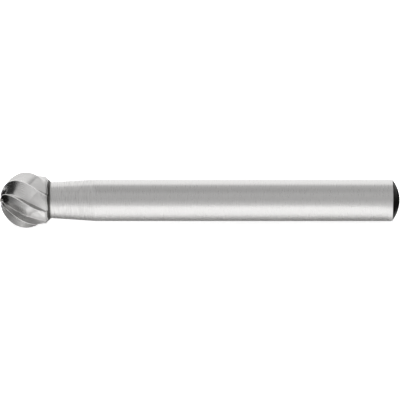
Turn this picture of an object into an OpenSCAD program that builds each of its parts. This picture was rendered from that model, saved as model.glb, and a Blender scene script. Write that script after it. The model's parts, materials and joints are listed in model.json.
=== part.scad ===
// Ball-nosed rotary burr, ground from one bar of high-speed steel.
// The tool lies at rest: its teeth and the rear rim of its shank touch the surface at z = 0.
// The head points to -X, and the origin is on the surface under the middle of the tool.
// The shapes are drawn about the tool's own axis, with the centre of the ball at zero and the shank
// towards +X. An angle round that axis is 0 towards -Y and 90 towards +Z.

/* [Ball head] */
// Diameter of the ball over the cutting edges
head_d = 8; // [7.2:0.1:12]
// Length by which the rear cone cuts the ball short, measured at the foot of the cone
cut_back = 0.7; // [0.4:0.05:1]
// Diameter of the short collar behind the ball, where the teeth end
collar_d = 6.7; // [6.2:0.1:7]
// Angle of the rear cone to the tool's axis
rear_angle = 45; // [35:1:55]

/* [Teeth] */
// Number of teeth
teeth = 8; // [8:4:12]
// Length in which a tooth would turn once round the axis
lead = 40; // [25:1:120]
// Depth of a gullet at the widest part of the ball
gullet_depth = 0.92; // [0.6:0.01:1.1]
// Rise of the gullet floor for each millimetre towards the shank
run_out = 0.06; // [0:0.005:0.1]
// Width of the bright land behind each cutting edge
land_w = 0.15; // [0.05:0.01:0.4]
// Angle round the axis from the root of a gullet to the cutting edge above it
rake_lean = 4.5; // [1:0.5:9]
// Colatitude at which the cutter leaves the ball's curve at the root and runs straight on
crease_start = 95; // [92:1:105]
// How much later it does so at the edge than at the root, because its line of contact is slanted
crease_sweep = 20; // [0:1:40]
// Colatitude at which every second tooth starts, measured from the tip
short_start = 18; // [10:1:30]
// Colatitude at which every fourth tooth starts, measured from the tip
middle_start = 10; // [6:1:16]

/* [Neck] */
// Smallest diameter of the neck, just behind the head
neck_d = 5.2; // [4.6:0.1:5.6]
// Fillet between the rear cone and the neck
neck_fillet = 0.5; // [0.2:0.05:0.8]
// Distance from the tip to the place where the neck has grown to the shank
neck_l = 13.6; // [10:0.1:20]

/* [Shank] */
// Diameter of the shank
shank_d = 6; // [6:0.05:6.4]
// Length of the whole tool
overall_l = 57.1; // [35:0.1:90]
// Radius of the domed rear end
dome_r = 4.6; // [3.6:0.1:10]
// Diameter at which the ground rim of the dome gives way to the dark scale
rim_d = 5.95; // [4.5:0.05:5.95]

/* [Hidden] */

steel = [0.72, 0.72, 0.71];
bright_steel = [0.80, 0.80, 0.79];
dark_scale = [0.13, 0.13, 0.12];

head_r = head_d / 2;
collar_r = collar_d / 2;
neck_r = neck_d / 2;
shank_r = shank_d / 2;
rim_r = rim_d / 2;
pitch = 360 / teeth;
twist = 360 / lead;

// Places along the axis, from the centre of the ball
cone_foot_x = head_r - cut_back;
fillet_tuck = 0.8;
neck_x = cone_foot_x + fillet_tuck * neck_fillet * tan(rear_angle / 2);
taper_end_x = neck_l - head_r;
apex_x = overall_l - head_r;
dome_centre_x = apex_x - dome_r;
function dome_x(r) = dome_centre_x + sqrt(dome_r * dome_r - r * r);
shank_end_x = dome_x(shank_r);

// Fineness of the shapes
round_fn = 96;
rows = 40;
back_columns = 5;
row_power = 1.15;
fillet_steps = 8;
buried = 5;
dome_steps = 12;
search_steps = 26;

function smooth(a, b, t) =
    let (c = min(1, max(0, (t - a) / (b - a))))
    c * c * (3 - 2 * c);

// Radii from the centre of the ball, at a colatitude measured from the tip
function cone_radius(lat) =
    (neck_r + cone_foot_x * tan(rear_angle)) / (sin(lat) - cos(lat) * tan(rear_angle));
function crest_radius(lat) =
    lat > 90 ? max(head_r, collar_r / sin(lat)) : head_r;
nose_swell = 1.1;
function floor_radius(lat) =
    head_r - gullet_depth * sin(nose_swell * min(lat, 90)) / sin(nose_swell * 90);

// Columns across one tooth: 0 is its cutting edge and 1 is the next tooth's edge
land_u = land_w / (PI * head_d / teeth);
root_u = 1 - rake_lean / pitch;
columns = concat(
    [0],
    [for (i = [0:back_columns]) land_u + (root_u - land_u) * i / back_columns]
);
column_count = len(columns);

// Behind its land each tooth has a flat back down to the root of the gullet,
// and from there a flat rake face rises to the next edge
function flat_radius(u, u0, r0, u1, r1) =
    let (
        past = (u - u0) * pitch,
        left = (u1 - u) * pitch
    )
    sin(past + left) / (sin(left) / r0 + sin(past) / r1);
function full_tooth(u, crest, root) =
    u <= land_u ? crest
    : u <= root_u ? flat_radius(u, land_u, crest, root_u, root)
    : flat_radius(u, root_u, root, 1, crest);

// Behind its crease each line along the tooth runs straight on, rising only by the run-out,
// until it comes up to the ball or the collar
function crease_lat(u) = crease_start + crease_sweep * (root_u - u) / root_u;
function ball_tooth(u, lat) = full_tooth(u, crest_radius(lat), floor_radius(lat));
function formed_tooth(u, lat) =
    u <= land_u || lat <= crease_lat(u) ? ball_tooth(u, lat)
    : let (
        from = crease_lat(u),
        left_at = ball_tooth(u, from),
        straight = left_at * (sin(from) + run_out * cos(from)) / (sin(lat) + run_out * cos(lat))
      )
      min(crest_radius(lat), straight);

// How much of each tooth stands up near the tip: every fourth one starts at the tip itself
short_fade = 6;
middle_fade = 4;
function tooth_height(k, lat) =
    k % 2 == 0 ? smooth(short_start - short_fade, short_start + short_fade, lat)
    : k % 4 == 3 ? smooth(middle_start - middle_fade, middle_start + middle_fade, lat)
    : 1;
function tooth_radius(k, u, lat) =
    let (root = min(floor_radius(lat), formed_tooth(u, lat)))
    root + (formed_tooth(u, lat) - root) * tooth_height(k, lat);

// Colatitude at which a column meets the rear cone, found by halving
function meets_cone(u, low = 95, high = 155, left = search_steps) =
    left == 0 ? (low + high) / 2
    : let (mid = (low + high) / 2)
      cone_radius(mid) > tooth_radius(1, u, mid)
        ? meets_cone(u, mid, high, left - 1)
        : meets_cone(u, low, mid, left - 1);
column_ends = [for (u = columns) meets_cone(u)];

// A point of the head as [place along the axis, distance from it, angle round it]
function head_point(k, c, i) =
    let (
        lat = column_ends[c] * pow(i / rows, row_power),
        radius = tooth_radius(k, columns[c], lat),
        x = -radius * cos(lat)
    )
    [x, radius * sin(lat), -pitch * (k + columns[c]) - twist * x];

// The last ring lies on the rear cone, just inside the neck
ring_inset = 0.15;
inner_ring_r = neck_r - ring_inset;
inner_ring_x = cone_foot_x + (neck_r - inner_ring_r) / tan(rear_angle);
function ring_point(k, c) =
    [inner_ring_x, inner_ring_r, -pitch * (k + columns[c]) - twist * inner_ring_x];

ring_size = teeth * column_count;
head_polar = concat(
    [for (i = [1:rows]) for (k = [0:teeth - 1]) for (c = [0:column_count - 1]) head_point(k, c, i)],
    [for (k = [0:teeth - 1]) for (c = [0:column_count - 1]) ring_point(k, c)]
);
function to_space(p, roll) = [p.x, -p.y * cos(p.z + roll), p.y * sin(p.z + roll)];

// Rest: the tool has rolled to where its head sinks lowest between two teeth,
// and it leans until the rear rim of the shank touches too.
function head_drop(roll, lean) =
    max([for (p = head_polar) p.x * sin(lean) - p.y * sin(p.z + roll) * cos(lean)]);
function lean_for(drop) =
    let (reach = norm([shank_end_x, shank_r]))
    asin(drop / reach) - atan2(shank_r, shank_end_x);
function lowest_roll(lean, low = 0, high = pitch, left = search_steps) =
    left == 0 ? (low + high) / 2
    : let (
        a = low + (high - low) / 3,
        b = high - (high - low) / 3
      )
      head_drop(a, lean) < head_drop(b, lean)
        ? lowest_roll(lean, low, b, left - 1)
        : lowest_roll(lean, a, high, left - 1);
first_lean = lean_for(head_r);
rest_roll = lowest_roll(first_lean);
rest_lean = lean_for(head_drop(rest_roll, first_lean));
rest_drop = head_drop(rest_roll, rest_lean);
front_x = -head_r;
rear_x = dome_centre_x * cos(rest_lean) + dome_r;

module turned(profile) {
    rotate([0, 90, 0]) rotate_extrude($fn = round_fn) polygon(profile);
}

module toothed_head() {
    tip = len(head_polar);
    cap = ring_size * rows;
    points = concat([for (p = head_polar) to_space(p, rest_roll)], [[-head_r, 0, 0]]);
    sides = [
        for (i = [0:rows - 1]) for (j = [0:ring_size - 1])
            let (
                n = (j + 1) % ring_size,
                a = i * ring_size + j,
                b = i * ring_size + n
            )
            each [
                [a, b + ring_size, b],
                [a, a + ring_size, b + ring_size]
            ]
    ];
    nose = [for (j = [0:ring_size - 1]) [tip, j, (j + 1) % ring_size]];
    back = [[for (j = [ring_size - 1:-1:0]) cap + j]];
    color(steel) polyhedron(points = points, faces = concat(nose, sides, back), convexity = 10);
}

module neck() {
    buried_angle = rear_angle + buried;
    fillet = [
        for (i = [fillet_steps:-1:0])
            let (a = buried_angle * i / fillet_steps)
            [neck_r + neck_fillet * (1 - cos(a)), neck_x - neck_fillet * sin(a)]
    ];
    start_x = neck_x - neck_fillet * sin(buried_angle);
    color(bright_steel)
        turned(concat([[0, start_x]], fillet, [[shank_r, taper_end_x], [0, taper_end_x]]));
}

module shank() {
    color(bright_steel) turned([
        [0, taper_end_x],
        [shank_r, taper_end_x],
        [shank_r, shank_end_x],
        [rim_r, dome_x(rim_r)],
        [0, dome_x(rim_r)]
    ]);
}

module dark_end() {
    edge_angle = asin(rim_r / dome_r);
    dome = [
        for (i = [0:dome_steps])
            let (a = edge_angle * (1 - i / dome_steps))
            [dome_r * sin(a), dome_centre_x + dome_r * cos(a)]
    ];
    color(dark_scale) turned(concat([[0, dome_x(rim_r)]], dome));
}

module burr() {
    translate([-(front_x + rear_x) / 2, 0, rest_drop]) rotate([0, rest_lean, 0]) union() {
        toothed_head();
        neck();
        shank();
        dark_end();
    }
}

burr();
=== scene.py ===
import json
import math

import bpy
import numpy as np
from bpy.props import FloatProperty, FloatVectorProperty, IntProperty, PointerProperty
from mathutils import Matrix, Vector


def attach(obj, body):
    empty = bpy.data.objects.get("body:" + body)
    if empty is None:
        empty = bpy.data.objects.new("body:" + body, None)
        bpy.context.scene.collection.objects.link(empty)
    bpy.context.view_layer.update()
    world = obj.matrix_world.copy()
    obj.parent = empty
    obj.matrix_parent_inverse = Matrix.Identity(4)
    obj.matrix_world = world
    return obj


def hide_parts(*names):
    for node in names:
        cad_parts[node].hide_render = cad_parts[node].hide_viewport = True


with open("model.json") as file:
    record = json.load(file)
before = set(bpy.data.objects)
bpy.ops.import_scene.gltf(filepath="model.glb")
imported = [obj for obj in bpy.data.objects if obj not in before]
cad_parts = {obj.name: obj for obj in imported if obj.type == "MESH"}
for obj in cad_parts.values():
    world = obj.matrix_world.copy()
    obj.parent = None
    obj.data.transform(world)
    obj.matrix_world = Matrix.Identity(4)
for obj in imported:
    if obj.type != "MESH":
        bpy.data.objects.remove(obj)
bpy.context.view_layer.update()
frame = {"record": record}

# Dresses the ball-nosed rotary burr: toothed head, ground neck, plain shank and dark domed end.
# Every piece stands for the one solid of the model, and lies exactly where that lies.

bl_info = {
    "name": "Ball-nosed rotary burr",
    "version": (1, 0, 0),
    "blender": (4, 5, 0),
    "location": "View3D > Sidebar > Burr",
    "description": "Makes a ball-nosed rotary burr with helical teeth, and a plain stage for it",
    "category": "Add Mesh",
}

MM = 0.001
NODE = "burr"
BODY = "root"
# Corners of the skin sharper than this stay sharp, and the rest is shaded smooth
SHARP_ANGLE = math.radians(28)
# Steps round the fillet at the foot of the neck
FILLET_STEPS = 20


class BurrSizes(bpy.types.PropertyGroup):
    """Driving sizes of the tool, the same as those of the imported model"""

    head_d: FloatProperty(
        name="Ball diameter",
        description="Diameter of the ball over its cutting edges",
        default=8 * MM,
        unit="LENGTH",
    )
    cut_back: FloatProperty(
        name="Cut back",
        description="Length by which the rear cone cuts the ball short, at the foot of the cone",
        default=0.7 * MM,
        unit="LENGTH",
    )
    collar_d: FloatProperty(
        name="Collar diameter",
        description="Diameter of the short collar behind the ball, where the teeth end",
        default=6.7 * MM,
        unit="LENGTH",
    )
    rear_angle: FloatProperty(
        name="Rear cone angle",
        description="Angle of the rear cone to the tool's axis",
        default=math.radians(45),
        unit="ROTATION",
    )
    teeth: IntProperty(
        name="Teeth",
        description="Number of teeth round the head",
        default=8,
    )
    lead: FloatProperty(
        name="Lead",
        description="Length in which a tooth would turn once round the axis",
        default=40 * MM,
        unit="LENGTH",
    )
    gullet_depth: FloatProperty(
        name="Gullet depth",
        description="Depth of a gullet at the widest part of the ball",
        default=0.92 * MM,
        unit="LENGTH",
    )
    run_out: FloatProperty(
        name="Gullet run-out",
        description="Rise of the gullet floor for each unit of length towards the shank",
        default=0.06,
    )
    land_w: FloatProperty(
        name="Land width",
        description="Width of the bright land behind each cutting edge",
        default=0.15 * MM,
        unit="LENGTH",
    )
    rake_lean: FloatProperty(
        name="Rake lean",
        description="Angle round the axis from the root of a gullet to the cutting edge above it",
        default=math.radians(4.5),
        unit="ROTATION",
    )
    root_round: FloatProperty(
        name="Root round",
        description="How far the cutter's round corner leaves the root of a gullet filled",
        default=0.035 * MM,
        unit="LENGTH",
    )
    crease_start: FloatProperty(
        name="Crease start",
        description="Colatitude at which the cutter leaves the ball's curve at the root",
        default=math.radians(95),
        unit="ROTATION",
    )
    crease_sweep: FloatProperty(
        name="Crease sweep",
        description="How much later it leaves the ball's curve at the edge than at the root",
        default=math.radians(20),
        unit="ROTATION",
    )
    short_start: FloatProperty(
        name="Short tooth start",
        description="Colatitude at which every second tooth starts, measured from the tip",
        default=math.radians(18),
        unit="ROTATION",
    )
    middle_start: FloatProperty(
        name="Middle tooth start",
        description="Colatitude at which every fourth tooth starts, measured from the tip",
        default=math.radians(10),
        unit="ROTATION",
    )
    neck_d: FloatProperty(
        name="Neck diameter",
        description="Smallest diameter of the neck, just behind the head",
        default=5.2 * MM,
        unit="LENGTH",
    )
    neck_fillet: FloatProperty(
        name="Neck fillet",
        description="Radius between the rear cone and the neck",
        default=0.5 * MM,
        unit="LENGTH",
    )
    neck_l: FloatProperty(
        name="Neck end",
        description="Distance from the tip to the place where the neck has grown to the shank",
        default=13.6 * MM,
        unit="LENGTH",
    )
    shank_d: FloatProperty(
        name="Shank diameter",
        description="Diameter of the shank",
        default=6 * MM,
        unit="LENGTH",
    )
    overall_l: FloatProperty(
        name="Overall length",
        description="Length of the whole tool",
        default=57.1 * MM,
        unit="LENGTH",
    )
    dome_r: FloatProperty(
        name="Dome radius",
        description="Radius of the domed rear end",
        default=4.6 * MM,
        unit="LENGTH",
    )
    rim_d: FloatProperty(
        name="Rim diameter",
        description="Diameter at which the ground rim of the dome gives way to the dark scale",
        default=5.95 * MM,
        unit="LENGTH",
    )
    roll: FloatProperty(
        name="Roll",
        description="Turn about the axis at which the tool has come to rest",
        default=math.radians(24.2492),
        unit="ROTATION",
    )


def linear(code):
    """Turn an sRGB hex colour such as #C8C8C4 into linear red, green, blue and alpha."""
    parts = [int(code[i : i + 2], 16) / 255 for i in (1, 3, 5)]
    return [p / 12.92 if p <= 0.04045 else ((p + 0.055) / 1.055) ** 2.4 for p in parts] + [1.0]


class BurrFinishes(bpy.types.PropertyGroup):
    """Colours of the tool's surfaces and of the stage"""

    steel: FloatVectorProperty(
        name="Ground steel",
        description="Colour of the ground high-speed steel",
        default=linear("#DBDAD9"),
        size=4,
        subtype="COLOR",
    )
    scale: FloatVectorProperty(
        name="Heat scale",
        description="Colour of the dark oxide that hardening left on the rear end",
        default=linear("#131211"),
        size=4,
        subtype="COLOR",
    )
    # Dark steel colour: painted shade on the rake faces in the gullets, and the dark colour of the
    # rear cone and the neck's foot
    dark_shade_steel: FloatVectorProperty(
        name="Hardening skin",
        description="Colour of the steel where the wheels left the skin from hardening",
        default=linear("#5A5957"),
        size=4,
        subtype="COLOR",
    )
    floor: FloatVectorProperty(
        name="Floor",
        description="Colour of the floor",
        default=linear("#F2F2F2"),
        size=4,
        subtype="COLOR",
    )
    card: FloatVectorProperty(
        name="Card",
        description="Colour of the black cards on the floor beyond both ends of the tool",
        default=linear("#0E0E0E"),
        size=4,
        subtype="COLOR",
    )
    grey_card: FloatVectorProperty(
        name="Grey card",
        description="Colour of the grey card in front of the tip, away from the tool",
        default=linear("#606060"),
        size=4,
        subtype="COLOR",
    )
    light_card: FloatVectorProperty(
        name="Light grey card",
        description="Colour of the grey card in front of the tip, next to the tool",
        default=linear("#CCCCCC"),
        size=4,
        subtype="COLOR",
    )


class BurrStage(bpy.types.PropertyGroup):
    """Camera and studio"""

    elevation: FloatProperty(
        name="Camera elevation",
        description="Angle of the camera above the floor, square to the tool's axis",
        default=math.radians(32.5),
        unit="ROTATION",
    )
    lens: FloatProperty(
        name="Lens",
        description="Focal length, which puts the camera 430 mm from the tool",
        default=271,
        unit="CAMERA",
    )
    view_w: FloatProperty(
        name="View width",
        description="Real width that the picture takes in",
        default=400 / 7 * MM,
        unit="LENGTH",
    )
    look_at: FloatProperty(
        name="Look at",
        description="Place on the axis in the middle of the picture, from the ball's centre",
        default=24.58 * MM,
        unit="LENGTH",
    )
    floor_w: FloatProperty(
        name="Floor width",
        description="Width of the square floor",
        default=3.0,
        unit="LENGTH",
    )
    card_at: FloatProperty(
        name="Card distance",
        description="Distance of the black cards from the middle of the tool",
        default=30 * MM,
        unit="LENGTH",
    )
    grey_at: FloatProperty(
        name="Grey card distance",
        description="Distance of the grey card's edge from the middle of the tool",
        default=26.5 * MM,
        unit="LENGTH",
    )
    card_w: FloatProperty(
        name="Card width",
        description="Width of the black card in front of the tip",
        default=60 * MM,
        unit="LENGTH",
    )
    lamp_power: FloatProperty(
        name="Lamp power",
        description="Power of the softbox above and behind the tool",
        default=2.6,
        unit="POWER",
    )


def smooth(start, end, t):
    """Go from 0 at start to 1 at end with level ends: 3 c^2 - 2 c^3 of the share c."""
    c = np.clip((t - start) / (end - start), 0, 1)
    return c * c * (3 - 2 * c)


def cone_radius(s, lat):
    """Distance of the rear cone from the ball's centre, by the line-circle rule in polar form."""
    slope = math.tan(s.rear_angle)
    foot = s.head_d / 2 - s.cut_back
    return (s.neck_d / 2 + foot * slope) / (np.sin(lat) - np.cos(lat) * slope)


def crest_radius(s, lat):
    """The ball up to its widest part, then the larger of the ball and the collar's cylinder."""
    ball = s.head_d / 2
    # The lower bound only keeps the tip's pole out of the division
    collar = s.collar_d / 2 / np.maximum(np.sin(lat), 0.1)
    return np.where(lat > math.pi / 2, np.maximum(ball, collar), ball)


def floor_radius(s, lat):
    """Gullet floor: deepens round the nose, then keeps its depth below the ball."""
    swell = 1.1
    nose = np.sin(swell * np.minimum(lat, math.pi / 2)) / math.sin(swell * math.pi / 2)
    return s.head_d / 2 - s.gullet_depth * nose


def tooth_width(s):
    """Width of one tooth with its gullet, round the widest part of the ball."""
    return math.pi * s.head_d / s.teeth


def root_place(s):
    """Place of a gullet's root across one tooth, where 0 is its edge and 1 the next edge."""
    return 1 - s.rake_lean * s.teeth / (2 * math.pi)


def tooth_columns(s):
    """Places across one tooth from its edge at 0 to the next edge at 1, closest round the root,
    with the places where its land ends and where the root of the gullet lies."""
    land = s.land_w / tooth_width(s)
    root = root_place(s)
    before = root - 0.04
    behind = root + 0.03
    stretches = [
        np.linspace(0, land, 4, endpoint=False),
        np.linspace(land, before, 24, endpoint=False),
        np.linspace(before, behind, 14, endpoint=False),
        np.linspace(behind, 1, 6, endpoint=False),
    ]
    return np.concatenate(stretches), land, root


def flat_radius(s, u, u0, r0, u1, r1):
    """Radius along the flat through two points given by place and radius: 1/r is the sum of
    1/r0 and 1/r1, weighted by the sines of the angles to the other point."""
    pitch = 2 * math.pi / s.teeth
    past = (u - u0) * pitch
    left = (u1 - u) * pitch
    return np.sin(past + left) / (np.sin(left) / r0 + np.sin(past) / r1)


def ball_tooth(s, u, lat, land, root):
    """Land, flat back down to the root of the gullet, and flat rake face up to the next edge."""
    crest = crest_radius(s, lat)
    floor = floor_radius(s, lat)
    back = flat_radius(s, u, land, crest, root, floor)
    rake = flat_radius(s, u, root, floor, 1, crest)
    return np.where(u <= land, crest, np.where(u <= root, back, rake))


def formed_tooth(s, u, lat, land, root):
    """The same, but behind its crease each line along the back runs straight on, rising only by
    the run-out, until it comes up to the ball or the collar. The rake face joins on to it. The
    cutter's corner leaves a round there, which fills h w / sqrt(d^2 + w^2) at a distance of d."""
    crest = crest_radius(s, lat)
    edge = np.minimum(u, root)
    crease = s.crease_start + s.crease_sweep * (root - edge) / root
    left_at = ball_tooth(s, edge, crease, land, root)
    rise = (np.sin(crease) + s.run_out * np.cos(crease)) / (np.sin(lat) + s.run_out * np.cos(lat))
    back = np.where(lat <= crease, ball_tooth(s, edge, lat, land, root), left_at * rise)
    back = np.where(edge <= land, crest, np.minimum(crest, back))
    rake = flat_radius(s, np.maximum(u, root), root, back, 1, crest)
    sharp = np.where(u <= root, back, rake)

    past_root = (u - root) * tooth_width(s)
    round_w = 0.06 * MM
    filled = s.root_round * round_w / np.hypot(past_root, round_w)
    near_root = smooth(-0.3 * MM, -0.1 * MM, -np.abs(past_root))
    return np.minimum(crest, sharp + filled * near_root)


def tooth_height(s, k, lat):
    """How much of each tooth stands up near the tip: every fourth one starts at the tip itself."""
    short_fade = math.radians(6)
    middle_fade = math.radians(4)
    short = smooth(s.short_start - short_fade, s.short_start + short_fade, lat)
    middle = smooth(s.middle_start - middle_fade, s.middle_start + middle_fade, lat)
    return np.where(k % 2 == 0, short, np.where(k % 4 == 3, middle, 1.0))


def tooth_radius(s, k, u, lat, land, root):
    """Distance of the head's surface from the ball's centre, where teeth stand less near the tip.
    The rake face belongs to the next tooth, so it stands as high as that one."""
    formed = formed_tooth(s, u, lat, land, root)
    floor = np.minimum(floor_radius(s, lat), formed)
    stands = np.where(u <= root, tooth_height(s, k, lat), tooth_height(s, k + 1, lat))
    return floor + (formed - floor) * stands


def column_ends(s, u, land, root, halvings=30):
    """Colatitude at which each column meets the rear cone, found by halving."""
    low = np.full(u.shape, math.radians(95))
    high = np.full(u.shape, math.radians(155))
    for _ in range(halvings):
        mid = (low + high) / 2
        outside = cone_radius(s, mid) > tooth_radius(s, 1, u, mid, land, root)
        low = np.where(outside, mid, low)
        high = np.where(outside, high, mid)
    return (low + high) / 2


def tool_frame(s):
    """Ball centre and the directions along the axis, to the front and up, from the shank's
    mount."""
    mount = next(m for m in frame["record"]["mounts"] if m["name"] == "shank")
    along = Vector(mount["axis"]).normalized()
    ball = s.head_d / 2
    shank_start = s.neck_l - ball
    middle = (shank_start + shank_end(s)) / 2
    centre = Vector(mount["pos_m"]) - along * middle
    front = Vector((0, -1, 0))
    up = along.cross(front) * -1
    return centre, along, front, up


def dome_centre(s):
    """Place on the axis of the middle of the domed end, from the ball's centre."""
    return s.overall_l - s.head_d / 2 - s.dome_r


def dome_x(s, radius):
    """Place on the axis where the dome has this radius, by the circle's rule."""
    return dome_centre(s) + np.sqrt(s.dome_r**2 - np.square(radius))


def shank_end(s):
    """Place on the axis where the shank meets the dome."""
    return float(dome_x(s, s.shank_d / 2))


def place(s, x, radius, angle):
    """Points at x along the axis, radius from it and angle round it, where the tool lies."""
    centre, along, front, up = (np.array(v) for v in tool_frame(s))
    turned = angle + s.roll
    return (
        centre
        + x[..., None] * along
        + (radius * np.cos(turned))[..., None] * front
        + (radius * np.sin(turned))[..., None] * up
    )


def closed_skin(name, rings, first_pole, last_pole, across, along):
    """Mesh from rings of points, closed round each ring and by a pole at both ends. The columns
    run against the angle. across and along give each point's place on the skin, in metres."""
    ring_count, column_count = rings.shape[:2]
    points = np.concatenate([rings.reshape(-1, 3), [first_pole], [last_pole]])
    i, j = np.meshgrid(np.arange(ring_count - 1), np.arange(column_count), indexing="ij")
    nxt = (j + 1) % column_count
    a = i * column_count + j
    b = i * column_count + nxt
    quads = np.stack([a, b, b + column_count, a + column_count], axis=-1).reshape(-1, 4)
    col = np.arange(column_count)
    nxt_col = (col + 1) % column_count
    tip = ring_count * column_count
    last = (ring_count - 1) * column_count
    nose = np.stack([np.full(column_count, tip), nxt_col, col], axis=-1)
    tail = np.stack([np.full(column_count, tip + 1), last + col, last + nxt_col], axis=-1)
    mesh = bpy.data.meshes.new(name)
    mesh.from_pydata(points.tolist(), [], quads.tolist() + nose.tolist() + tail.tolist())

    across_next = across[j + 1]
    across_here = across[j]
    quad_u = np.stack([across_here, across_next, across_next, across_here], axis=-1)
    along_next = along[i + 1]
    along_here = along[i]
    quad_v = np.stack([along_here, along_here, along_next, along_next], axis=-1)
    quad_uv = np.stack([quad_u, quad_v], axis=-1).reshape(-1, 2)
    ends = []
    for v in (along[0], along[-1]):
        u = np.stack([across[:-1], across[1:], across[:-1]], axis=-1).reshape(-1)
        ends.append(np.stack([u, np.full(u.shape, v)], axis=-1))
    uv_map = mesh.uv_layers.new(name="skin")
    uv_map.data.foreach_set("uv", np.concatenate([quad_uv] + ends).astype(np.float32).ravel())

    mesh.shade_smooth()
    mesh.set_sharp_from_angle(angle=SHARP_ANGLE)
    mesh.validate()
    mesh.update()
    obj = bpy.data.objects.new(name, mesh)
    bpy.context.collection.objects.link(obj)
    return obj


def turned_skin(s, name, x, radius, sides=192):
    """Surface of revolution: the profile of x and radius carried once round the axis."""
    angle = -2 * math.pi * np.arange(sides) / sides
    grid_x = np.repeat(x[1:-1, None], sides, axis=1)
    grid_r = np.repeat(radius[1:-1, None], sides, axis=1)
    rings = place(s, grid_x, grid_r, np.broadcast_to(angle, grid_x.shape))
    poles = place(s, x[[0, -1]], radius[[0, -1]], np.zeros(2))
    across = 2 * math.pi * np.arange(sides + 1) / sides * s.shank_d / 2
    steps = np.hypot(np.diff(x), np.diff(radius))
    along = np.cumsum(steps)
    return closed_skin(name, rings, poles[0], poles[1], across, along)


def belongs(obj, material):
    """Give a piece its material, hide the model's part that it stands for, and hang it on the body
    that it rides on.
    """
    obj.data.materials.append(material)
    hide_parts(NODE)
    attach(obj, BODY)


def add_node(tree, kind, inputs=None, **settings):
    """Add a node, set its settings, and give each named input a value or link it to a socket."""
    node = tree.nodes.new(kind)
    for name, value in settings.items():
        setattr(node, name, value)
    for name, value in (inputs or {}).items():
        if isinstance(value, bpy.types.NodeSocket):
            tree.links.new(value, node.inputs[name])
        else:
            node.inputs[name].default_value = value
    return node


def empty_material(name):
    """A material with an empty node tree, its tree and its output node."""
    material = bpy.data.materials.new(name)
    material.use_nodes = True
    tree = material.node_tree
    tree.nodes.clear()
    return material, tree, add_node(tree, "ShaderNodeOutputMaterial")


def across_tooth(tree, s, spot):
    """Place across one tooth, from 0 at its edge to 1 at the next edge: the part after the point
    of the place round the skin, counted in teeth."""
    teeth_on = add_node(
        tree,
        "ShaderNodeMath",
        {0: spot.outputs["X"], 1: 1 / tooth_width(s)},
        operation="MULTIPLY",
    )
    return add_node(tree, "ShaderNodeMath", {0: teeth_on.outputs[0]}, operation="FRACT")


def behind_crease(tree, s, spot, across):
    """0 up to the crease of each back and 1 behind it. The crease lies later at the edge."""
    ball = s.head_d / 2
    half_w = 0.05 * MM
    crease = add_node(
        tree,
        "ShaderNodeMapRange",
        {
            "Value": across.outputs[0],
            "From Max": root_place(s),
            "To Min": (s.crease_start + s.crease_sweep) * ball,
            "To Max": s.crease_start * ball,
        },
    )
    past = add_node(
        tree,
        "ShaderNodeMath",
        {0: spot.outputs["Y"], 1: crease.outputs["Result"]},
        operation="SUBTRACT",
    )
    return add_node(
        tree,
        "ShaderNodeMapRange",
        {"Value": past.outputs[0], "From Min": -half_w, "From Max": half_w},
    )


def rake_shade_cone_dark(tree, s, spot, across, cone_at):
    """Share of the dark colour: about half on the rake faces, as painted shade in the gullets, and
    all of it on the rear cone below its bright rim."""
    on_rake = add_node(
        tree, "ShaderNodeMath", {0: across.outputs[0], 1: root_place(s)}, operation="GREATER_THAN"
    )
    # Painted shade: the rake faces take about half of the dark colour, as the gullets' shade
    faint = add_node(
        tree, "ShaderNodeMath", {0: on_rake.outputs[0], 1: 0.52}, operation="MULTIPLY"
    )
    rim_w = 0.31 * MM
    on_cone = add_node(
        tree,
        "ShaderNodeMath",
        {0: spot.outputs["Y"], 1: cone_at + rim_w},
        operation="GREATER_THAN",
    )
    return add_node(
        tree,
        "ShaderNodeMath",
        {0: faint.outputs[0], 1: on_cone.outputs[0]},
        operation="MAXIMUM",
    )


def steel_colour(tree, colours, dark, shade):
    """Clean steel, or the dark steel colour by the share dark, times the shade."""
    colour = add_node(tree, "ShaderNodeMix", {0: dark}, data_type="RGBA")
    colour.inputs[6].default_value = colours.steel
    colour.inputs[7].default_value = colours.dark_shade_steel
    shaded = add_node(
        tree, "ShaderNodeVectorMath", {0: colour.outputs[2], "Scale": shade}, operation="SCALE"
    )
    return shaded.outputs[0]


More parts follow.
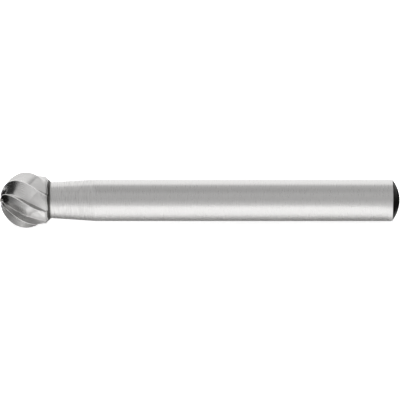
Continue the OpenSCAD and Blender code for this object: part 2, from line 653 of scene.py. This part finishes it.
def milled_tooth_steel(colours, s, cone_at):
    """High-speed steel, hardened, with its teeth milled and ground along the flutes. cone_at is
    how far along the skin the rear cone starts."""
    material, tree, output = empty_material("milled_tooth_steel")
    # Fine bright and dark streaks that follow each flute show which way the wheel ran
    skin = add_node(tree, "ShaderNodeUVMap", uv_map="skin")
    along = add_node(
        tree,
        "ShaderNodeMapping",
        {"Vector": skin.outputs["UV"], "Scale": (1 / (0.10 * MM), 1 / (3.0 * MM), 1)},
    )
    streaks = add_node(
        tree,
        "ShaderNodeTexNoise",
        {"Vector": along.outputs["Vector"], "Scale": 1.0, "Detail": 3.0, "Roughness": 0.55},
    )
    ground = add_node(
        tree,
        "ShaderNodeMapRange",
        {"Value": streaks.outputs["Fac"], "To Min": 0.10, "To Max": 0.24},
    )
    bump = add_node(
        tree,
        "ShaderNodeBump",
        {"Height": streaks.outputs["Fac"], "Strength": 0.12, "Distance": 0.01 * MM},
    )
    shade = add_node(
        tree,
        "ShaderNodeMapRange",
        {
            "Value": streaks.outputs["Fac"],
            "From Min": 0.35,
            "From Max": 0.65,
            "To Min": 0.94,
            "To Max": 1.06,
        },
    )
    # Towards the ball's middle the wheel cut more, and left the backs less bright
    spot = add_node(tree, "ShaderNodeSeparateXYZ", {"Vector": skin.outputs["UV"]})
    towards_middle = add_node(
        tree,
        "ShaderNodeMapRange",
        {
            "Value": spot.outputs["Y"],
            "From Min": math.radians(58) * s.head_d / 2,
            "From Max": math.radians(88) * s.head_d / 2,
            "To Max": 0.13,
        },
    )
    worn = add_node(
        tree, "ShaderNodeMath", {0: ground.outputs["Result"], 1: towards_middle.outputs["Result"]}
    )
    # Behind its crease each back is matt from a coarser wheel, so it looks alike from all sides
    across = across_tooth(tree, s, spot)
    behind = behind_crease(tree, s, spot, across)
    matt = add_node(
        tree,
        "ShaderNodeMix",
        {0: behind.outputs["Result"], 2: worn.outputs[0], 3: 0.50},
        data_type="FLOAT",
    )
    # The land behind each edge is duller, so it stays a thin light line where its sides are dark
    on_land = add_node(
        tree,
        "ShaderNodeMath",
        {0: across.outputs[0], 1: 1.3 * s.land_w / tooth_width(s)},
        operation="LESS_THAN",
    )
    rough = add_node(
        tree,
        "ShaderNodeMix",
        {0: on_land.outputs[0], 2: matt.outputs[0], 3: 0.60},
        data_type="FLOAT",
    )
    metal = add_node(
        tree, "ShaderNodeMath", {0: on_land.outputs[0], 1: -0.5, 2: 1.0}, operation="MULTIPLY_ADD"
    )
    # The rake faces are darker as painted shade in the gullets, and the rear cone below its rim is
    # coloured dark
    dark = rake_shade_cone_dark(tree, s, spot, across, cone_at)
    colour = steel_colour(tree, colours, dark.outputs[0], shade.outputs["Result"])
    steel = add_node(
        tree,
        "ShaderNodeBsdfPrincipled",
        {
            "Base Color": colour,
            "Metallic": metal.outputs[0],
            "Roughness": rough.outputs[0],
            "Normal": bump.outputs["Normal"],
        },
    )
    tree.links.new(steel.outputs["BSDF"], output.inputs["Surface"])
    return material


def ground_steel(name, colours, ring_shade, dark_to=0.0):
    """High-speed steel, ground round and round, with rings that darken it by up to ring_shade.
    Up to dark_to along the skin it's coloured dark."""
    material, tree, output = empty_material(name)
    # Fine rings, broken up round the bar as the wheel's grains leave them, soften its reflections
    place_node = add_node(tree, "ShaderNodeTexCoord")
    rings = add_node(
        tree,
        "ShaderNodeMapping",
        {
            "Vector": place_node.outputs["Object"],
            "Scale": (1 / (0.09 * MM), 1 / (1.2 * MM), 1 / (1.2 * MM)),
        },
    )
    lines = add_node(
        tree,
        "ShaderNodeTexNoise",
        {"Vector": rings.outputs["Vector"], "Scale": 1.0, "Detail": 2.0, "Roughness": 0.5},
    )
    rough = add_node(
        tree,
        "ShaderNodeMapRange",
        {"Value": lines.outputs["Fac"], "To Min": 0.24, "To Max": 0.34},
    )
    bump = add_node(
        tree,
        "ShaderNodeBump",
        {"Height": lines.outputs["Fac"], "Strength": 0.10, "Distance": 0.01 * MM},
    )
    shade = add_node(
        tree,
        "ShaderNodeMapRange",
        {
            "Value": lines.outputs["Fac"],
            "From Min": 0.35,
            "From Max": 0.65,
            "To Min": 1 - 0.85 * ring_shade,
            "To Max": 1 + 0.15 * ring_shade,
        },
    )
    # The foot of the neck, next to the rear cone, is coloured dark like the cone
    skin = add_node(tree, "ShaderNodeUVMap", uv_map="skin")
    spot = add_node(tree, "ShaderNodeSeparateXYZ", {"Vector": skin.outputs["UV"]})
    dark_foot = add_node(
        tree,
        "ShaderNodeMapRange",
        {
            "Value": spot.outputs["Y"],
            "From Min": dark_to - 0.30 * MM,
            "From Max": dark_to,
            "To Min": 1.0,
            "To Max": 0.0,
        },
    )
    colour = steel_colour(tree, colours, dark_foot.outputs["Result"], shade.outputs["Result"])
    steel = add_node(
        tree,
        "ShaderNodeBsdfPrincipled",
        {
            "Base Color": colour,
            "Metallic": 1.0,
            "Roughness": rough.outputs["Result"],
            "Normal": bump.outputs["Normal"],
        },
    )
    tree.links.new(steel.outputs["BSDF"], output.inputs["Surface"])
    return material


def heat_scale(colours):
    """Black oxide scale that hardening leaves on steel."""
    material, tree, output = empty_material("heat_scale")
    # A dull black skin, a little uneven, with a weak sheen where it faces the light
    place_node = add_node(tree, "ShaderNodeTexCoord")
    specks = add_node(
        tree,
        "ShaderNodeTexNoise",
        {"Vector": place_node.outputs["Object"], "Scale": 1 / (0.5 * MM), "Detail": 4.0},
    )
    rough = add_node(
        tree,
        "ShaderNodeMapRange",
        {"Value": specks.outputs["Fac"], "To Min": 0.30, "To Max": 0.50},
    )
    oxide = add_node(
        tree,
        "ShaderNodeBsdfPrincipled",
        {
            "Base Color": colours.scale,
            "Roughness": rough.outputs["Result"],
            "Specular IOR Level": 0.08,
        },
    )
    tree.links.new(oxide.outputs["BSDF"], output.inputs["Surface"])
    return material


class BURR_OT_head(bpy.types.Operator):
    """Make the toothed ball head and its rear cone"""

    bl_idname = "burr.make_head"
    bl_label = "Toothed head"

    def execute(self, context):
        s = context.scene.burr_sizes
        ball = s.head_d / 2
        u, land, root = tooth_columns(s)
        cone_ends = column_ends(s, u, land, root)

        # Rows lie closer round the nose, where the teeth start
        rows = 150
        share = (np.arange(1, rows + 1) / rows) ** 1.15
        k = np.repeat(np.arange(s.teeth), len(u))
        column_u = np.tile(u, s.teeth)
        lat = share[:, None] * np.tile(cone_ends, s.teeth)[None, :]
        radius = tooth_radius(s, k[None, :], column_u[None, :], lat, land, root)
        x = -radius * np.cos(lat)
        distance = radius * np.sin(lat)

        # The last ring lies on the rear cone, just inside the neck
        inset = 0.15 * MM
        inner = s.neck_d / 2 - inset
        inner_x = ball - s.cut_back + inset / math.tan(s.rear_angle)
        x = np.concatenate([x, np.full((1, x.shape[1]), inner_x)])
        distance = np.concatenate([distance, np.full((1, x.shape[1]), inner)])
        pitch = 2 * math.pi / s.teeth
        twist = 2 * math.pi / s.lead
        angle = -pitch * (k + column_u)[None, :] - twist * x
        rings = place(s, x, distance, angle)
        poles = place(s, np.array([-ball, inner_x]), np.zeros(2), np.zeros(2))

        pitch_w = tooth_width(s)
        across = np.append((k + column_u) * pitch_w, s.teeth * pitch_w)
        cone_at = cone_ends.mean() * ball
        cone_w = 0.9 * MM
        along = np.append(share * cone_at, cone_at + cone_w)
        head = closed_skin("burr_head", rings, poles[0], poles[1], across, along)
        belongs(head, milled_tooth_steel(context.scene.burr_finishes, s, cone_at))
        return {"FINISHED"}


class BURR_OT_neck(bpy.types.Operator):
    """Make the tapered neck"""

    bl_idname = "burr.make_neck"
    bl_label = "Neck"

    def execute(self, context):
        s = context.scene.burr_sizes
        neck_r = s.neck_d / 2
        foot = s.head_d / 2 - s.cut_back
        tuck = 0.8 * s.neck_fillet
        neck_x = foot + tuck * math.tan(s.rear_angle / 2)
        # The fillet runs on into the cone, so no gap shows between them
        buried = s.rear_angle + math.radians(5)
        turn = np.linspace(buried, 0, FILLET_STEPS)
        fillet_x = neck_x - s.neck_fillet * np.sin(turn)
        fillet_r = neck_r + s.neck_fillet * (1 - np.cos(turn))
        end_x = s.neck_l - s.head_d / 2
        taper = np.linspace(0, 1, 40)[1:]
        taper_r = neck_r + taper * (s.shank_d / 2 - neck_r)
        x = np.concatenate([[fillet_x[0]], fillet_x, neck_x + taper * (end_x - neck_x), [end_x]])
        radius = np.concatenate([[0], fillet_r, taper_r, [0]])
        neck = turned_skin(s, "burr_neck", x, radius)
        fillet_end = float(np.hypot(np.diff(x), np.diff(radius))[:FILLET_STEPS].sum())
        finishes = context.scene.burr_finishes
        belongs(neck, ground_steel("ground_neck_steel", finishes, 0.18, dark_to=fillet_end))
        return {"FINISHED"}


class BURR_OT_shank(bpy.types.Operator):
    """Make the plain shank with its ground rim"""

    bl_idname = "burr.make_shank"
    bl_label = "Shank"

    def execute(self, context):
        s = context.scene.burr_sizes
        start = s.neck_l - s.head_d / 2
        shank_r = s.shank_d / 2
        rim_r = s.rim_d / 2
        length = np.linspace(start, shank_end(s), 60)
        corner_r = np.linspace(shank_r, rim_r, 6)[1:]
        x = np.concatenate([[start], length, dome_x(s, corner_r), [dome_x(s, rim_r)]])
        radius = np.concatenate([[0], np.full(length.shape, shank_r), corner_r, [0]])
        shank = turned_skin(s, "burr_shank", x, radius)
        belongs(shank, ground_steel("ground_shank_steel", context.scene.burr_finishes, 0.05))
        return {"FINISHED"}


class BURR_OT_dark_end(bpy.types.Operator):
    """Make the domed rear end with its dark scale"""

    bl_idname = "burr.make_dark_end"
    bl_label = "Dark end"

    def execute(self, context):
        s = context.scene.burr_sizes
        edge = math.asin(s.rim_d / 2 / s.dome_r)
        turn = np.linspace(edge, 0, 40)
        x = dome_centre(s) + s.dome_r * np.cos(turn)
        radius = s.dome_r * np.sin(turn)
        x = np.concatenate([[x[0]], x])
        radius = np.concatenate([[0], radius])
        dome = turned_skin(s, "burr_dark_end", x, radius)
        belongs(dome, heat_scale(context.scene.burr_finishes))
        return {"FINISHED"}


def side_curve(tree, side, spots):
    """Half the brightness of a sheet by how far sideways it lies, from 0 in the middle to 1."""
    curve = add_node(tree, "ShaderNodeFloatCurve", {"Value": side.outputs[0]})
    points = curve.mapping.curves[0].points
    for x, y in spots[1:]:
        points.new(x, y)
    points[0].location = spots[0]
    points[-1].location = (1.0, 0.03)
    curve.mapping.update()
    return curve


def studio_world():
    """Light tent with a front, a top and a rear sheet and dark open ends. The camera sees plain
    white instead."""
    world = bpy.data.worlds.new("studio")
    world.use_nodes = True
    bpy.context.scene.world = world
    tree = world.node_tree
    tree.nodes.clear()
    seen = add_node(tree, "ShaderNodeTexCoord")
    way = add_node(tree, "ShaderNodeSeparateXYZ", {"Vector": seen.outputs["Generated"]})
    # Turn about the X axis: 0 at the front horizon, a half straight up, 1 at the back horizon
    forward = add_node(
        tree, "ShaderNodeMath", {0: way.outputs["Y"], 1: -1.0}, operation="MULTIPLY"
    )
    turn = add_node(
        tree, "ShaderNodeMath", {0: way.outputs["Z"], 1: forward.outputs[0]}, operation="ARCTAN2"
    )
    share = add_node(
        tree, "ShaderNodeMath", {0: turn.outputs[0], 1: math.pi}, operation="DIVIDE"
    )
    # The front is bright at the horizon and dimmer above it, and the rear is white low down
    levels = [
        (0.00, 0.78),
        (0.06, 0.66),
        (0.11, 0.56),
        (0.18, 0.47),
        (0.27, 0.50),
        (0.38, 0.52),
        (0.44, 0.42),
        (0.50, 0.42),
        (0.58, 0.50),
        (0.66, 0.50),
        (0.72, 1.00),
        (1.00, 1.00),
    ]
    level = add_node(tree, "ShaderNodeValToRGB", {"Fac": share.outputs[0]})
    ramp = level.color_ramp.elements
    while len(ramp) < len(levels):
        ramp.new(0.5)
    for stop, (spot, grey) in zip(ramp, levels):
        stop.position = spot
        stop.color = (grey, grey, grey, 1.0)
    # The front and the top are brighter at the sides and the rear in the middle. At both ends
    # of the tool the tent is open, and the room is dark
    side = add_node(tree, "ShaderNodeMath", {0: way.outputs["X"]}, operation="ABSOLUTE")
    front = side_curve(
        tree, side, [(0, 0.50), (0.35, 0.60), (0.6, 0.64), (0.88, 0.56), (0.93, 0.05)]
    )
    top = side_curve(
        tree, side, [(0, 0.40), (0.1, 0.44), (0.3, 1.00), (0.55, 0.95), (0.75, 0.65), (0.93, 0.05)]
    )
    rear = side_curve(
        tree, side, [(0, 0.58), (0.35, 0.51), (0.6, 0.45), (0.68, 0.41), (0.79, 0.05)]
    )
    sheets = front
    for sheet, start, end in ((top, 0.36, 0.44), (rear, 0.62, 0.72)):
        reached = add_node(
            tree,
            "ShaderNodeMapRange",
            {"Value": share.outputs[0], "From Min": start, "From Max": end},
        )
        sheets = add_node(
            tree,
            "ShaderNodeMix",
            {0: reached.outputs["Result"], 2: sheets.outputs[0], 3: sheet.outputs[0]},
            data_type="FLOAT",
        )
    doubled = add_node(
        tree, "ShaderNodeMath", {0: sheets.outputs[0], 1: 2.0}, operation="MULTIPLY"
    )
    tent = add_node(
        tree,
        "ShaderNodeMath",
        {0: level.outputs["Color"], 1: doubled.outputs[0]},
        operation="MULTIPLY",
    )
    path = add_node(tree, "ShaderNodeLightPath")
    plain = add_node(
        tree,
        "ShaderNodeMath",
        {0: path.outputs["Is Camera Ray"], 1: path.outputs["Is Transmission Ray"]},
        operation="ADD",
    )
    strength = add_node(
        tree,
        "ShaderNodeMix",
        {0: plain.outputs[0], 2: tent.outputs[0], 3: 1.0},
        data_type="FLOAT",
    )
    sky = add_node(tree, "ShaderNodeBackground", {"Strength": strength.outputs[0]})
    sky.inputs["Color"].default_value = (1, 1, 1, 1)
    output = add_node(tree, "ShaderNodeOutputWorld")
    tree.links.new(sky.outputs[0], output.inputs["Surface"])


def white_floor(colours):
    """Matt white board: keeps a soft shadow of the tool, and is white to the camera."""
    material, tree, output = empty_material("white_board")
    path = add_node(tree, "ShaderNodeLightPath")
    # Only a faint shadow shows, because the board glows softly towards the camera
    camera = add_node(
        tree, "ShaderNodeMath", {0: path.outputs["Is Camera Ray"], 1: 0.75}, operation="MULTIPLY"
    )
    mirrored = add_node(
        tree,
        "ShaderNodeMath",
        {0: path.outputs["Is Glossy Ray"], 1: path.outputs["Is Transmission Ray"]},
        operation="ADD",
    )
    # Under the head the board has a painted glow, a pool of light that shows in reflections, so the
    # low backs of the teeth look bright
    under_head = (-26.3 * MM, -4.5 * MM, 0)
    place_node = add_node(tree, "ShaderNodeTexCoord")
    away = add_node(
        tree,
        "ShaderNodeVectorMath",
        {0: place_node.outputs["Object"], 1: under_head},
        operation="DISTANCE",
    )
    below = add_node(
        tree,
        "ShaderNodeMapRange",
        {
            "Value": away.outputs["Value"],
            "From Min": 3.0 * MM,
            "From Max": 6.0 * MM,
            "To Min": 0.40,
            "To Max": 0.02,
        },
    )
    glow = add_node(
        tree,
        "ShaderNodeMath",
        {0: mirrored.outputs[0], 1: below.outputs["Result"], 2: camera.outputs[0]},
        operation="MULTIPLY_ADD",
    )
    board = add_node(
        tree,
        "ShaderNodeBsdfPrincipled",
        {
            "Base Color": colours.floor,
            "Roughness": 1.0,
            "Specular IOR Level": 0.0,
            "Emission Color": (1, 1, 1, 1),
            "Emission Strength": glow.outputs[0],
        },
    )
    tree.links.new(board.outputs["BSDF"], output.inputs["Surface"])
    return material


def black_card(colours):
    """Matt black card."""
    material, tree, output = empty_material("black_card")
    # It gives the steel its dark reflections at both ends
    card = add_node(
        tree,
        "ShaderNodeBsdfPrincipled",
        {"Base Color": colours.card, "Roughness": 1.0, "Specular IOR Level": 0.0},
    )
    tree.links.new(card.outputs["BSDF"], output.inputs["Surface"])
    return material


def shaded_card(colours, t):
    """Matt grey card in front of the tip."""
    material, tree, output = empty_material("grey_card")
    # It darkens away from the tool, as a sheet does that only the tent over the tool lights
    place_node = add_node(tree, "ShaderNodeTexCoord")
    spot = add_node(tree, "ShaderNodeSeparateXYZ", {"Vector": place_node.outputs["Object"]})
    away = add_node(
        tree,
        "ShaderNodeMapRange",
        {"Value": spot.outputs["X"], "From Min": -t.grey_at, "From Max": -t.grey_at - 7 * MM},
    )
    colour = add_node(tree, "ShaderNodeMix", {0: away.outputs["Result"]}, data_type="RGBA")
    colour.inputs[6].default_value = colours.light_card
    colour.inputs[7].default_value = colours.grey_card
    card = add_node(
        tree,
        "ShaderNodeBsdfPrincipled",
        {"Base Color": colour.outputs[2], "Roughness": 1.0, "Specular IOR Level": 0.0},
    )
    tree.links.new(card.outputs["BSDF"], output.inputs["Surface"])
    return material


def flat_board(name, low, high, height, material, mirrored_only=False):
    """A level sheet between two opposite corners. It can be there for reflections alone."""
    corners = [
        (low[0], low[1], height),
        (high[0], low[1], height),
        (high[0], high[1], height),
        (low[0], high[1], height),
    ]
    mesh = bpy.data.meshes.new(name)
    mesh.from_pydata(corners, [], [(0, 1, 2, 3)])
    mesh.materials.append(material)
    board = bpy.data.objects.new(name, mesh)
    bpy.context.collection.objects.link(board)
    board.visible_camera = not mirrored_only
    board.visible_diffuse = not mirrored_only
    board.visible_transmission = not mirrored_only
    board.visible_shadow = not mirrored_only


def floor_cards(colours, t):
    """Cards just above the floor beyond both ends of the tool, which show in the steel only."""
    black = black_card(colours)
    grey = shaded_card(colours, t)
    edge = -1.5 * MM
    rear_edge = t.card_w / 5
    near = t.card_at
    far = t.card_at + t.card_w
    rear_near = near + t.card_w / 12
    rear_far = near + 4 * t.card_w
    for name, low, high, finish in (
        ("tip_card", (-far, edge), (-near, rear_edge), black),
        ("tip_front_card", (-far, -t.card_w), (-t.grey_at, edge), grey),
        ("tip_rear_card", (-rear_far, rear_edge), (-rear_near, 2 * t.card_w), black),
        ("end_card", (near, -t.card_w), (far, rear_edge), black),
    ):
        flat_board(name, low, high, 0.2 * MM, finish, mirrored_only=True)


def softbox_lamp(t):
    """Soft lamp above and behind the tool. The tent already shows in the steel, so this doesn't."""
    lamp = bpy.data.lights.new("softbox", "AREA")
    lamp.shape = "RECTANGLE"
    lamp.size = 0.5
    lamp.size_y = 0.35
    lamp.energy = t.lamp_power
    softbox = bpy.data.objects.new("softbox", lamp)
    softbox.location = (0.0, 0.12, 0.5)
    softbox.visible_glossy = False
    bpy.context.scene.collection.objects.link(softbox)


def square_camera(s, t):
    """Camera square to the tool's axis, raised by the elevation, at the distance that its lens
    and the width of the view give."""
    centre, along, front, up = tool_frame(s)
    back = front * math.cos(t.elevation) + up * math.sin(t.elevation)
    over = back.cross(along)
    lens = bpy.data.cameras.new("camera")
    lens.type = "PERSP"
    lens.lens = t.lens
    lens.sensor_width = 36
    distance = t.view_w * t.lens / lens.sensor_width
    lens.clip_start = distance / 10
    lens.clip_end = distance * 10
    camera = bpy.data.objects.new("camera", lens)
    turn = Matrix((along, over, back)).transposed()
    stand = centre + along * t.look_at + back * distance
    camera.matrix_world = Matrix.Translation(stand) @ turn.to_4x4()
    scene = bpy.context.scene
    scene.collection.objects.link(camera)
    scene.camera = camera


class BURR_OT_stage(bpy.types.Operator):
    """Make the floor, the studio light and the camera"""

    bl_idname = "burr.make_stage"
    bl_label = "Stage"

    def execute(self, context):
        scene = context.scene
        t = scene.burr_stage
        colours = scene.burr_finishes
        scene.view_settings.view_transform = "Standard"
        studio_world()
        half = t.floor_w / 2
        flat_board("floor", (-half, -half), (half, half), 0, white_floor(colours))
        floor_cards(colours, t)
        softbox_lamp(t)
        square_camera(scene.burr_sizes, t)
        return {"FINISHED"}


class BURR_PT_panel(bpy.types.Panel):
    """Lists the pieces in the 3D view's sidebar"""

    bl_label = "Rotary burr"
    bl_idname = "BURR_PT_panel"
    bl_space_type = "VIEW_3D"
    bl_region_type = "UI"
    bl_category = "Burr"

    def draw(self, context):
        for maker in MAKERS:
            self.layout.operator(maker.bl_idname)


MAKERS = (BURR_OT_stage, BURR_OT_head, BURR_OT_neck, BURR_OT_shank, BURR_OT_dark_end)
GROUPS = {
    "burr_sizes": BurrSizes,
    "burr_finishes": BurrFinishes,
    "burr_stage": BurrStage,
}


def register():
    for group in GROUPS.values():
        bpy.utils.register_class(group)
    for maker in MAKERS:
        bpy.utils.register_class(maker)
    bpy.utils.register_class(BURR_PT_panel)
    for name, group in GROUPS.items():
        setattr(bpy.types.Scene, name, PointerProperty(type=group))


def unregister():
    for name in GROUPS:
        delattr(bpy.types.Scene, name)
    bpy.utils.unregister_class(BURR_PT_panel)
    for maker in reversed(MAKERS):
        bpy.utils.unregister_class(maker)
    for group in reversed(list(GROUPS.values())):
        bpy.utils.unregister_class(group)


def main():
    register()
    bpy.ops.burr.make_stage()
    bpy.ops.burr.make_head()
    bpy.ops.burr.make_neck()
    bpy.ops.burr.make_shank()
    bpy.ops.burr.make_dark_end()


if __name__ == "__main__":
    main()
